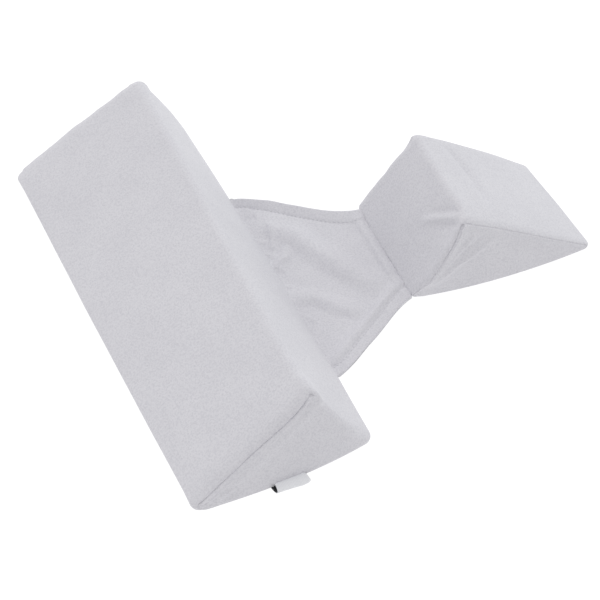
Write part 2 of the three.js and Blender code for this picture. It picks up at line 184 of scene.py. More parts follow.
def smoothLine(rows, position):
    # Values of a smooth line through rows of (position, value, ...)
    rows = np.array(rows, float)
    position = np.asarray(position, float)
    last = len(rows) - 1
    row = np.clip(np.searchsorted(rows[:, 0], position, side="left") - 1, 0, last - 1)
    share = np.clip((position - rows[row, 0]) / (rows[row + 1, 0] - rows[row, 0]), 0, 1)[..., None]
    before, start, end, after = (rows[np.clip(row + step, 0, last), 1:] for step in (-1, 0, 1, 2))
    tangentIn, tangentOut = (end - before) / 2, (after - start) / 2
    return (
        start + tangentIn * share + (3 * (end - start) - 2 * tangentIn - tangentOut) * share ** 2
        + (2 * (start - end) + tangentIn + tangentOut) * share ** 3
    )


def curveThrough(points, stations):
    # A polyline along the smooth curve through some points
    rows = [(index, *point) for index, point in enumerate(points)]
    return smoothLine(rows, np.linspace(0, len(points) - 1, stations))


def archOver(part):
    # 0 at both ends of a stretch and 1 at its middle
    return 4 * part * (1 - part)


def alongLine(places, line):
    # Distance to a polyline, the side on which it lies in plan, and how far along the line it is, from 0 to 1
    best = np.full(len(places), np.inf)
    side = np.zeros(len(places))
    travel = np.zeros(len(places))
    for step in range(len(line) - 1):
        start, way = line[step], line[step + 1] - line[step]
        offset = places - start
        share = np.clip(offset @ way / (way @ way), 0, 1)
        distance = np.linalg.norm(offset - share[:, None] * way, axis=1)
        nearer = distance < best
        best[nearer] = distance[nearer]
        side[nearer] = (way[0] * offset[:, 1] - way[1] * offset[:, 0])[nearer]
        travel[nearer] = ((step + share) / (len(line) - 1))[nearer]
    return best, side, travel


def unevenness(places, size, seed):
    # Smooth random values from -1 to 1 whose bumps are about size wide
    scaled = places / size + seed
    return np.array([noise.noise(Vector(place)) for place in scaled.tolist()])


def makeObject(name, points, faces):
    mesh = bpy.data.meshes.new(name)
    mesh.from_pydata(points.tolist(), [], faces)
    mesh.validate()
    mesh.shade_smooth()
    piece = bpy.data.objects.new(name, mesh)
    bpy.context.scene.collection.objects.link(piece)
    return piece


def vertexNormals(piece):
    normals = np.empty(len(piece.data.vertices) * 3)
    piece.data.vertex_normals.foreach_get("vector", normals)
    return normals.reshape(-1, 3)


def joinRings(here, there, around):
    # Faces between two rings of points, each given by its first point's number
    return [
        (here + step, here + (step + 1) % around, there + (step + 1) % around, there + step)
        for step in range(around)
    ]


def linearColour(hexColour):
    # From an sRGB hex colour, by sRGB's own curve
    parts = [int(hexColour[start:start + 2], 16) / 255 for start in (1, 3, 5)]
    return (*[part / 12.92 if part <= 0.04045 else ((part + 0.055) / 1.055) ** 2.4 for part in parts], 1)


def addNode(material, kind, inputs=(), **settings):
    node = material.node_tree.nodes.new("ShaderNode" + kind)
    for name, value in settings.items():
        setattr(node, name, value)
    for name, value in dict(inputs).items():
        if isinstance(value, bpy.types.NodeSocket):
            material.node_tree.links.new(value, node.inputs[name])
        else:
            node.inputs[name].default_value = value
    return node


def newMaterial(name):
    # An empty material, and the places on the piece that its textures follow
    material = bpy.data.materials.new(name)
    material.use_nodes = True
    material.node_tree.nodes.clear()
    return material, addNode(material, "TexCoord").outputs["Object"]


# Polyester-cotton terry, knitted and brushed: short matt loops that scatter light, so the cloth looks soft, pale and
# faintly speckled, with a little sheen where it turns away. The speckle is painted shade: the hollows between the
# loops are coloured darker.
terryCotton = {
    "cloth": "#d6d5da",
    # hollow is the painted shade between the loops, and also the darker end of the mottle's random tone
    "hollow": "#cbcad0",
    "roughness": 0.95,
    "ior": 1.5,
    "specular": 0.25,
    "sheen": 0.12,
    "sheenRoughness": 0.5,
    "loopSpacing": 1.3,  # loops are about 0.8 mm apart, drawn coarser so that they show
    "loopGrit": 0.6,
    "loopHeight": 0.25,
    "loopShadeSpan": (0.34, 0.56),  # between the loops the noise is low, and there the cloth is painted darker as shade
    "tuftSpacing": 3.4,  # groups of loops that lie the same way
    "tuftGrit": 0.5,
    "tuftHeight": 0.3,
    "mottleSpacing": 30,  # washed cloth is not one even tone
    "mottleGrit": 0.5,
    "mottleSpan": (0.35, 0.65),
    "mottleShare": 0.25,
}


def makeTerryCotton():
    look = terryCotton
    material, place = newMaterial("terryCotton")
    loops, tufts, mottle = (
        addNode(material, "TexNoise", {
            "Vector": place, "Scale": metre / look[pattern + "Spacing"],
            "Roughness": look[pattern + "Grit"],
        }).outputs["Fac"]
        for pattern in ("loop", "tuft", "mottle")
    )
    # Painted shade: where the loop noise is low, between the loops, the colour is darkened
    paintedLoopShade = addNode(material, "MapRange", {
        "Value": loops, "From Min": look["loopShadeSpan"][0], "From Max": look["loopShadeSpan"][1],
        "To Min": 1.0, "To Max": 0.0,
    }).outputs["Result"]
    worn = addNode(material, "MapRange", {
        "Value": mottle, "From Min": look["mottleSpan"][0], "From Max": look["mottleSpan"][1],
        "To Max": look["mottleShare"],
    }).outputs["Result"]
    # The painted loop shade and the mottle's random tone together mix the cloth towards the hollow colour
    shade = addNode(material, "Math", {0: paintedLoopShade, 1: worn}, operation="ADD", use_clamp=True).outputs["Value"]
    colour = addNode(material, "Mix", {
        "Factor": shade, 6: linearColour(look["cloth"]), 7: linearColour(look["hollow"]),
    }, data_type="RGBA").outputs[2]
    tuftBump = addNode(material, "Bump", {
        "Distance": look["tuftHeight"] * plan["millimetre"], "Height": tufts,
    }).outputs["Normal"]
    loopBump = addNode(material, "Bump", {
        "Distance": look["loopHeight"] * plan["millimetre"], "Height": loops, "Normal": tuftBump,
    }).outputs["Normal"]
    cloth = addNode(material, "BsdfPrincipled", {
        "Base Color": colour, "Roughness": look["roughness"], "IOR": look["ior"],
        "Specular IOR Level": look["specular"], "Sheen Weight": look["sheen"],
        "Sheen Roughness": look["sheenRoughness"], "Normal": loopBump,
    })
    addNode(material, "OutputMaterial", {"Surface": cloth.outputs["BSDF"]})
    return material


# Woven polyester satin tape: flat even threads with fine ribs across the tape and a soft shine
satinTape = {
    "thread": "#f4f4f6",
    # the painted shade of the tape, in the troughs of its ribs and between its glints
    "paintedTapeShade": "#e2e3e7",
    "back": "#26272b",
    "roughness": 0.55,
    "ior": 1.58,
    "specular": 0.4,
    "ribSpacing": 0.98696,  # weft threads are about 0.25 mm apart, drawn coarser so that they show
    "ribHeight": 0.06,
    "ribWobble": {"Distortion": 0.6, "Detail": 1.0, "Detail Scale": 2.0},
    "waveWidth": math.pi / 10,  # of the wave texture at a scale of 1
    "glintSpacing": 1.1,  # painted glints: small groups of threads are coloured lighter where they would catch the light
}


def makeSatinTape(name, thread, paintedTapeShade):
    look = satinTape
    material, place = newMaterial(name)
    ribs = addNode(material, "TexWave", {
        "Vector": place, "Scale": look["waveWidth"] * metre / look["ribSpacing"], **look["ribWobble"],
    }, wave_type="BANDS", bands_direction="X").outputs["Fac"]
    paintedGlints = addNode(material, "TexNoise", {
        "Vector": place, "Scale": metre / look["glintSpacing"],
    }).outputs["Fac"]
    # Painted shade and glints: rib troughs and low flecks take the darker colour, rib crests with high flecks the
    # lighter one
    tone = addNode(material, "Math", {0: ribs, 1: paintedGlints}, operation="MULTIPLY").outputs["Value"]
    colour = addNode(material, "Mix", {
        "Factor": tone, 6: linearColour(paintedTapeShade), 7: linearColour(thread),
    }, data_type="RGBA").outputs[2]
    bump = addNode(material, "Bump", {
        "Distance": look["ribHeight"] * plan["millimetre"], "Height": ribs,
    }).outputs["Normal"]
    tape = addNode(material, "BsdfPrincipled", {
        "Base Color": colour, "Roughness": look["roughness"], "IOR": look["ior"],
        "Specular IOR Level": look["specular"], "Normal": bump,
    })
    addNode(material, "OutputMaterial", {"Surface": tape.outputs["BSDF"]})
    return material


# Spun polyester sewing thread, pale as the cloth, slightly smoother than the loops round it
sewingThread = {
    "thread": "#d6d6da",
    "shadow": "#b4b4ba",
    "roughness": 0.7,
    "ior": 1.58,
    "twistSpacing": 0.5,
    "twistDetail": 1,
    "twistHeight": 0.05,
}


def makeSewingThread():
    look = sewingThread
    material, place = newMaterial("sewingThread")
    twist = addNode(material, "TexNoise", {
        "Vector": place, "Scale": metre / look["twistSpacing"], "Detail": look["twistDetail"],
    }).outputs["Fac"]
    colour = addNode(material, "Mix", {
        "Factor": twist, 6: linearColour(look["shadow"]), 7: linearColour(look["thread"]),
    }, data_type="RGBA").outputs[2]
    bump = addNode(material, "Bump", {
        "Distance": look["twistHeight"] * plan["millimetre"], "Height": twist,
    }).outputs["Normal"]
    thread = addNode(material, "BsdfPrincipled", {
        "Base Color": colour, "Roughness": look["roughness"], "IOR": look["ior"], "Normal": bump,
    })
    addNode(material, "OutputMaterial", {"Surface": thread.outputs["BSDF"]})
    return material


print("scene: materials")
terryCottonMaterial = makeTerryCotton()
satinTapeMaterial = makeSatinTape("satinTape", satinTape["thread"], satinTape["paintedTapeShade"])
satinTapeBackMaterial = makeSatinTape("satinTapeBack", satinTape["back"], satinTape["back"])
sewingThreadMaterial = makeSewingThread()


# Steps round the long edges, across the faces, over the turn into an end and over the end itself
wedgeDensity = {
    "left": 8, "ridge": 18, "right": 10,
    "leftFace": 62, "rightFace": 42, "base": 30,
    "turn": 44, "endRings": 22,
    "centreShare": 0.03,  # size of an end's last ring
    "bodyStart": 1.1,  # where the body's own sections start, in depths of the turn
}

# How a cover turns over into its end. Inset is how far the outline has drawn in, and depth is how far it lies
# behind the end face. The plain rows (step, inset, depth) are a soft fold.
plainTurn = [
    (0, 0, 7), (1, 0.3, 4.6), (2, 1, 2.9), (3, 1.8, 1.8),
    (4, 2.9, 1), (5, 4.2, 0.4), (6, 5.8, 0.1), (7, 9, 0),
]
# A sewn edge rolls down into a tight groove and up again. Its rows are the step, the share of the groove's
# own inset with what is added to it, and the share of the groove's depth with what is added to that.
sewnTurn = [
    (0, 0, 0, 0, 7), (1, 0.04, 0, 1, 3.7), (1.8, 0.17, 0, 1, 2.1), (2.5, 0.42, 0, 1, 1),
    (3.1, 0.72, 0, 1, 0.45), (3.6, 0.93, 0, 1, 0.5), (4, 1, 0, 1, 0.9), (4.3, 1, 0.2, 0.6, 0.3),
    (4.7, 1, 0.7, 0.05, -0.25), (5.2, 1, 1.4, 0, -0.55), (5.8, 1, 2.7, 0, -0.3), (6.4, 1, 4.6, 0, 0),
    (7, 0, 9.5, 0, 0),
]
grooveStep = 4  # the step at the bottom of the groove

# Corners are at x and y in plan, the left and right ones at the floor and the ridge above them
largeWedge = {
    "near": {"left": (1.6, -1.3), "ridge": (91, 12.5), "right": (132, 1)},
    "far": {"left": (-1.7, 338.6), "ridge": (97.4, 338.5), "right": (131.4, 338.8)},
    "radius": {"left": 2.2, "ridge": 6.2, "right": 3},
    "crown": {"leftFace": 2, "rightFace": 1.2},  # how far the middle of a face stands out
    # Near the near end the right face is drawn in, by this much at the end itself, over a share of the length
    "drawnIn": {"depth": 3.4, "reach": 0.07},
    "endBulge": {"near": 4.2, "far": 1},
    "edgeBow": {"left": -0.9, "right": 2.4},  # how far the middle of a floor edge lies to the right
    # Each face's end seam: how far it is sewn, and along the face from left to right the inset and depth of
    # its groove and how many times wider the turn is on the end than on the face
    "endSeam": {
        "leftFace": {"sewn": 1, "inset": [(0, 1.8), (0.5, 2), (0.75, 3.2), (1, 4.2)],
                     "depth": [(0, 1.6), (0.4, 1.5), (0.6, 1), (1, 0.7)], "spread": [(0, 1), (1, 1)]},
        "rightFace": {"sewn": 0, "inset": [(0, 4.2), (1, 1.8)], "depth": [(0, 1.1), (1, 1.6)],
                      "spread": [(0, 1), (0.15, 1.6), (0.3, 2), (0.6, 2), (0.8, 1.4), (1, 1)]},
    },
    # How far the near end's left and right edges stand out from its plane at each share of the height, and
    # how far across the end that is felt
    "edgeOut": {
        "left": [(0, 0.4), (0.3, 0.6), (0.5, 1.3), (0.7, 1.8), (0.87, 1.9), (0.95, 1), (1, 0.4)],
        "right": [(0, 0), (0.15, 0.5), (0.3, 2), (0.45, 3), (0.6, 2.5), (0.8, 1), (1, 0)],
        "reach": 26,
    },
    # How large the soft turn into the ends is at the edges and the base, and what is added at mid-face
    "turnSize": {"leftFoot": 0.55, "left": 0.6, "ridge": 0.5, "right": 1.05, "rightFoot": 0.85, "base": 0.3},
    "turnArch": {"leftFace": 0, "rightFace": 1.3, "base": 0},
    # How far the ridge wanders to the right at each share of the length
    "ridgeDrift": [(0, 0), (0.06, -2.6), (0.12, -3.6), (0.24, -2.8), (0.5, -2.1), (0.62, -0.9), (0.85, -0.3),
                   (1, 0)],
    "sections": 170,
    "seed": 3.7,
    "foamRise": 0.45,
    "foamSize": 46,
    # Lines on the cover, through the nearest places to these, each with how wide and how high it stands
    "creases": {
        "apex pinch": {"line": [(90, 12, 60), (91.5, 13, 59.5), (92.5, 14, 58.5)], "width": 1.6,
                       "rise": -1.1},
        "corner tuck": {"line": [(20, -1, 11), (27, -2, 13), (33, -2.5, 13.5)], "width": 2.4, "rise": -1.1},
        "second tuck": {"line": [(15, 0, 5), (24, -2.4, 6), (31, -3.6, 6.5)], "width": 2.2, "rise": -1},
    },
    # A rounded swelling beside the groove of each sewn end
    "puff": {"away": 7.5, "width": 3.4, "rise": 1.2},
}

smallWedge = {
    "near": {"left": (212.4, 103.8), "ridge": (251, 105), "right": (353, 94.8)},
    "far": {"left": (216.1, 199.8), "ridge": (261.2, 200), "right": (350.3, 188.4)},
    "radius": {"left": 3, "ridge": 4.8, "right": 2.2},
    "crown": {"leftFace": 0.2, "rightFace": 1.6},
    "drawnIn": {"depth": 0, "reach": 0.07},
    "endBulge": {"near": 4.4, "far": 1},
    "edgeBow": {"left": -0.4, "right": 0.5},
    "endSeam": {
        "leftFace": {"sewn": 1, "inset": [(0, 1.6), (0.3, 2), (0.6, 2.6), (1, 3)],
                     "depth": [(0, -0.4), (0.25, -0.3), (0.5, 0), (0.7, 0.5), (0.85, 1.2), (0.93, 1.8),
                               (1, 1.8)],
                     "spread": [(0, 1), (1, 1)]},
        "rightFace": {"sewn": 0.5, "inset": [(0, 3), (0.2, 1.2), (1, 1.2)],
                      "depth": [(0, 1.1), (0.3, 0.8), (1, 0.8)], "spread": [(0, 1), (1, 1)]},
    },
    "edgeOut": {
        "left": [(0, -1), (0.1, -0.8), (0.2, 1), (0.3, 3.2), (0.4, 3.2), (0.6, 2.5), (0.75, 2.7), (0.87, 2),
                 (1, 1)],
        "right": [(0, 0), (1, 0)],
        "reach": 30,
    },
    "turnSize": {"leftFoot": 0.5, "left": 0.5, "ridge": 0.45, "right": 0.5, "rightFoot": 0.4, "base": 0.3},
    "turnArch": {"leftFace": 0, "rightFace": 0, "base": 0},
    "ridgeDrift": [(0, 0), (0.08, 2.8), (0.17, 3.8), (0.3, 3), (0.45, 1.9), (0.7, 0.5), (1, 0)],
    "sections": 70,
    "seed": 9.1,
    "foamRise": 0.35,
    "foamSize": 34,
    "creases": {
        "ridge tuck": {"line": [(274.9, 199.8, 45.2), (280.4, 175.5, 42.3), (281.2, 147.4, 42.3),
                                (280.2, 128.5, 43.2)], "width": 3.2, "rise": -2.3},
        "apex pinch": {"line": [(245.5, 103, 52), (248, 104, 56.5), (250.5, 105.5, 60)], "width": 1.5,
                       "rise": -1.3},
        "corner pull": {"line": [(236.7, 140.4, 36.2), (241.2, 132.1, 43.8), (246.2, 121.6, 52.5),
                                 (250.1, 113.4, 59.1)], "width": 3.2, "rise": 1.9},
        "hollow above": {"line": [(242.5, 138, 45.6), (248, 126.7, 54.9), (252, 115.9, 62)], "width": 3,
                         "rise": -0.8},
        "hollow below": {"line": [(241.6, 121, 45.2), (245.5, 114.8, 51.7), (249, 109.5, 57.5)], "width": 2.6,
                         "rise": -1.1},
        "end pucker": {"line": [(273.3, 102.2, 39.8), (260.1, 102.6, 32.7), (246.8, 100, 27.3),
                                (237.6, 99, 22.1), (228.4, 99, 13.4)], "width": 2.3, "rise": 1.6},
        "second pucker": {"line": [(259.3, 102, 49.5), (251.6, 101, 42.5), (240.5, 99, 32)], "width": 1.8,
                          "rise": 1.1},
        "pucker hollow": {"line": [(264.9, 102, 46.2), (254.4, 101, 38.9), (245.1, 99, 33)], "width": 1.8,
                          "rise": -0.8},
        "face wrinkle": {"line": [(307.7, 165.2, 33.2), (313.9, 167.4, 29.4), (321.7, 170.7, 24.3)],
                         "width": 1.8, "rise": -0.35},
    },
    "puff": {"away": 4.5, "width": 2.6, "rise": 0.3},
}

# Gathers along the well-sewn end seams: the cloth dimples where the stitches pull it in
seamGathers = {"spacing": 8.5, "length": 17, "reach": 6, "rise": 0.56, "sewnFrom": 0.5}
# Points of a crease's line, how near its ends it stops fading, and the height below which the cover keeps its
# place on the floor more and more
coverWork = {"linePoints": 24, "lineEnd": 0.02, "settleHeight": 4}


def seamAt(wedge, face, part, sewnShare=1):
    # How sewn, inset, deep and spread a face's end seam is at some parts of the face
    seam = wedge["endSeam"][face]
    inset, depth, spread = (smoothLine(seam[key], part)[..., 0] for key in ("inset", "depth", "spread"))
    return np.stack([np.full_like(inset, seam["sewn"] * sewnShare), inset, depth, spread], axis=-1)


def cornerLine(wedge, corner, share):
    near, far = np.array(wedge["near"][corner], float), np.array(wedge["far"][corner], float)
    place = near + (far - near) * share
    if corner == "ridge":
        place[0] += smoothLine(wedge["ridgeDrift"], share)[0]
    else:
        place[0] += wedge["edgeBow"][corner] * math.sin(math.pi * share)
    return place


def touchingNormal(first, second):
    # Direction square to the line that touches two circles (x, z, radius), on its left
    way = np.array([second[0] - first[0], second[1] - first[1]])
    length = np.linalg.norm(way)
    way /= length
    lean = (first[2] - second[2]) / length
    return way * lean + np.array([-way[1], way[0]]) * math.sqrt(1 - lean * lean)


def wedgeOutline(wedge, share):
    # Rows of x, z, size, and how sewn, inset, deep and spread the end seam is there, from the left edge over
    # the ridge to the right edge and back along the base
    radius, crown, size = (wedge[key] for key in ("radius", "crown", "turnSize"))
    left, ridge, right = (cornerLine(wedge, corner, share)[0] for corner in ("left", "ridge", "right"))
    leftCircle = np.array([left + radius["left"], radius["left"], radius["left"]])
    ridgeCircle = np.array([ridge, plan["wedgeHeight"] - radius["ridge"], radius["ridge"]])
    rightCircle = np.array([right - radius["right"], radius["right"], radius["right"]])
    down = np.array([0.0, -1.0])
    leftNormal = touchingNormal(leftCircle, ridgeCircle)
    rightNormal = touchingNormal(ridgeCircle, rightCircle)
    rows = []

    def addArc(name, circle, start, end, seams, sizes):
        part = np.linspace(0, 1, wedgeDensity[name] + 1)
        first = math.atan2(start[1], start[0])
        angle = first - part * ((first - math.atan2(end[1], end[0])) % (2 * math.pi))
        around = np.stack([np.cos(angle), np.sin(angle)], axis=1)
        rows.append(np.column_stack([
            circle[:2] + circle[2] * around, sizes[0] + (sizes[1] - sizes[0]) * part,
            seams[0] + np.outer(part, seams[1] - seams[0]),
        ]))

    def addFace(name, circle, normal, sizeTo, fullness, seamOf):
        part = np.arange(1, wedgeDensity[name]) / wedgeDensity[name]
        arch = archOver(part)
        start, fromSize = rows[-1][-1, :2], rows[-1][-1, 2]
        chord = circle[:2] + circle[2] * normal - start
        places = start + np.outer(part, chord) + np.outer(arch, fullness * normal)
        plain = sizeTo + (fromSize - sizeTo) * (1 - part) ** 3 + wedge["turnArch"][name] * arch
        seam = seamOf(part)
        rows.append(np.column_stack([places, plain + (1 - plain) * seam[:, 0] * np.sqrt(arch), seam]))

    leftSeam = partial(seamAt, wedge, "leftFace")
    rightSeam = partial(seamAt, wedge, "rightFace")
    addArc("left", leftCircle, down, leftNormal, (leftSeam(0, 0), leftSeam(0)),
           (size["leftFoot"], size["left"]))
    addFace("leftFace", ridgeCircle, leftNormal, size["ridge"], crown["leftFace"], leftSeam)
    addArc("ridge", ridgeCircle, leftNormal, rightNormal, (leftSeam(1), rightSeam(0)),
           (size["ridge"], size["ridge"]))
    drawnIn = wedge["drawnIn"]["depth"] * math.exp(-((share / wedge["drawnIn"]["reach"]) ** 2))
    addFace("rightFace", rightCircle, rightNormal, size["right"], crown["rightFace"] - drawnIn, rightSeam)
    addArc("right", rightCircle, rightNormal, down, (rightSeam(1), rightSeam(1, 0)),
           (size["right"], size["rightFoot"]))
    addFace("base", leftCircle, down, size["base"], 0, lambda part: leftSeam(np.zeros_like(part), 0))
    return np.concatenate(rows)


def inscribedCircle(wedge, share):
    left, ridge, right = (
        np.array([cornerLine(wedge, corner, share)[0], height])
        for corner, height in (("left", 0), ("ridge", plan["wedgeHeight"]), ("right", 0))
    )
    sides = [np.linalg.norm(ridge - right), np.linalg.norm(right - left), np.linalg.norm(left - ridge)]
    middle = (sides[0] * left + sides[1] * ridge + sides[2] * right) / sum(sides)
    return middle, sides[1] * plan["wedgeHeight"] / sum(sides)


def sectionPlane(wedge, share, x, z):
    # Y on the slanted plane through the three corners of a cross-section
    left, ridge, right = (cornerLine(wedge, corner, share) for corner in ("left", "ridge", "right"))
    height = z / plan["wedgeHeight"]
    across = (x - left[0] - height * (ridge[0] - left[0])) / (right[0] - left[0])
    return left[1] + height * (ridge[1] - left[1]) + across * (right[1] - left[1])


def endFullness(wedge, name, x, z):
    # How far an end stands out: most at the middle of its floor edge, and near its edges by their own measure
    left, ridge, right = (wedge[name][corner][0] for corner in ("left", "ridge", "right"))
    height = z / plan["wedgeHeight"]
    across = np.clip((x - left) / (right - left), 0, 1)
    fullness = wedge["endBulge"][name] * archOver(across) * (1 - height)
    if name == "near":
        width = (right - left) * np.maximum(1 - height, plan["leastShare"])
        fromLeft = np.clip(x - left - height * (ridge - left), 0, width)
        for side, distance in (("left", fromLeft), ("right", width - fromLeft)):
            out = smoothLine(wedge["edgeOut"][side], height)[..., 0]
            felt = np.exp(-((distance / wedge["edgeOut"]["reach"]) ** 2))
            fullness = fullness + out * (1 - distance / width) ** 2 * felt
    return fullness


def endRings(wedge, name):
    # Rings of one end, from the full outline to the last ring round the middle of the end face
    sign, end = (1, 0) if name == "near" else (-1, 1)
    length = wedge["far"]["left"][1] - wedge["near"]["left"][1]

    def place(x, z, share, depth):
        fullness = endFullness(wedge, name, x, z)
        return np.stack([x, sectionPlane(wedge, share, x, z) + sign * (depth - fullness), z], axis=1)

    rings = []
    for step in np.linspace(0, plainTurn[-1][0], wedgeDensity["turn"] + 1):
        plainInset, plainDepth = smoothLine(plainTurn, step)
        insetShare, insetPlus, depthShare, depthPlus = smoothLine(sewnTurn, step)
        share = end + sign * plainDepth / length
        middle, innerRadius = inscribedCircle(wedge, share)
        x, z, size, sewn, grooveInset, grooveDepth, spread = wedgeOutline(wedge, share).T
        sewnInset = insetShare * grooveInset + insetPlus
        sewnDepth = depthShare * grooveDepth + depthPlus
        inset = (plainInset + (sewnInset - plainInset) * sewn) * size
        depth = plainDepth * size / spread * (1 - sewn) + sewnDepth * sewn
        draw = inset / innerRadius
        rings.append(place(x + (middle[0] - x) * draw, z + (middle[1] - z) * draw, end, depth))
    middle, _ = inscribedCircle(wedge, end)
    lastX, lastZ = rings[-1][:, 0], rings[-1][:, 2]
    for size in np.linspace(1, wedgeDensity["centreShare"], wedgeDensity["endRings"] + 1)[1:]:
        x, z = middle[0] + (lastX - middle[0]) * size, middle[1] + (lastZ - middle[1]) * size
        rings.append(place(x, z, end, 0))
    centre = place(middle[:1], middle[1:], end, 0)
    return rings, centre


def makeWedge(name, wedge):
    near, nearCentre = endRings(wedge, "near")
    far, farCentre = endRings(wedge, "far")
    body = []
    largest = wedgeDensity["bodyStart"] + max(wedge["turnArch"].values())
    first = largest * plainTurn[0][2] / (wedge["far"]["left"][1] - wedge["near"]["left"][1])
    for share in np.linspace(first, 1 - first, wedge["sections"] + 1)[1:-1]:
        x, z = wedgeOutline(wedge, share)[:, :2].T
        body.append(np.stack([x, sectionPlane(wedge, share, x, z), z], axis=1))
    rings = near[::-1] + body + far
    around = len(rings[0])
    points = np.concatenate(rings + [nearCentre, farCentre])
    firstCentre, lastRing = len(rings) * around, (len(rings) - 1) * around
    faces = []
    for here in range(0, lastRing, around):
        faces += joinRings(here, here + around, around)
    for step in range(around):
        after = (step + 1) % around
        faces.append((firstCentre, after, step))
        faces.append((firstCentre + 1, lastRing + step, lastRing + after))
    piece = makeObject(name, toFrame(points), faces)
    workCover(piece, wedge, points, rings)
    return piece


def workCover(piece, wedge, points, rings):
    # Moves the cover in and out along its own normals, by the listed crease lines and slight foam unevenness
    normals = vertexNormals(piece)
    lift = wedge["foamRise"] * unevenness(points, wedge["foamSize"], wedge["seed"])
    for crease in wedge["creases"].values():
        nearest = [points[np.linalg.norm(points - place, axis=1).argmin()] for place in crease["line"]]
        distance, _, travel = alongLine(points, curveThrough(nearest, coverWork["linePoints"]))
        fade = np.sqrt(np.sin(math.pi * np.clip(travel, coverWork["lineEnd"], 1 - coverWork["lineEnd"])))
        lift += crease["rise"] * np.exp(-((distance / crease["width"]) ** 2)) * fade
    # A puff and small gathers lie along the groove of each sewn end
    groove = round(grooveStep / plainTurn[-1][0] * wedgeDensity["turn"])
    sewn = np.nonzero(wedgeOutline(wedge, 0)[:, 3] > seamGathers["sewnFrom"])[0]
    puff = wedge["puff"]
    grooveRing = wedgeDensity["endRings"] + wedgeDensity["turn"] - groove
    for ringIndex in (grooveRing, len(rings) - 1 - grooveRing):
        line = rings[ringIndex][sewn]
        distance, _, travel = alongLine(points, line)
        length = np.linalg.norm(np.diff(line, axis=0), axis=1).sum()
        spots = np.stack([travel * length / seamGathers["spacing"], distance / seamGathers["length"],
                          np.zeros(len(points))], axis=1)
        ripple = unevenness(spots, 1, wedge["seed"] + ringIndex)
        lift += seamGathers["rise"] * ripple * np.exp(-((distance / seamGathers["reach"]) ** 2))
        lift += puff["rise"] * np.exp(-(((distance - puff["away"]) / puff["width"]) ** 2))
    settle = np.clip(points[:, 2] / coverWork["settleHeight"], 0, 1)
    moved = points + normals * (lift * settle)[:, None]
    moved[:, 2] = np.maximum(moved[:, 2], 0)
    piece.data.vertices.foreach_set("co", toFrame(moved).ravel())
    piece.data.update()


print("scene: wedges")
largeCushion = makeWedge("large_cushion", largeWedge)
smallCushion = makeWedge("small_cushion", smallWedge)
for cushion, node in ((largeCushion, "large_wedge"), (smallCushion, "small_wedge")):
    cushion.data.materials.append(terryCottonMaterial)
    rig.ride(cushion, "root")
    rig.replaces(cushion, node)
    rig.slot(cushion, "terry_cover")
    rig.padded(cushion, fill=0.95)


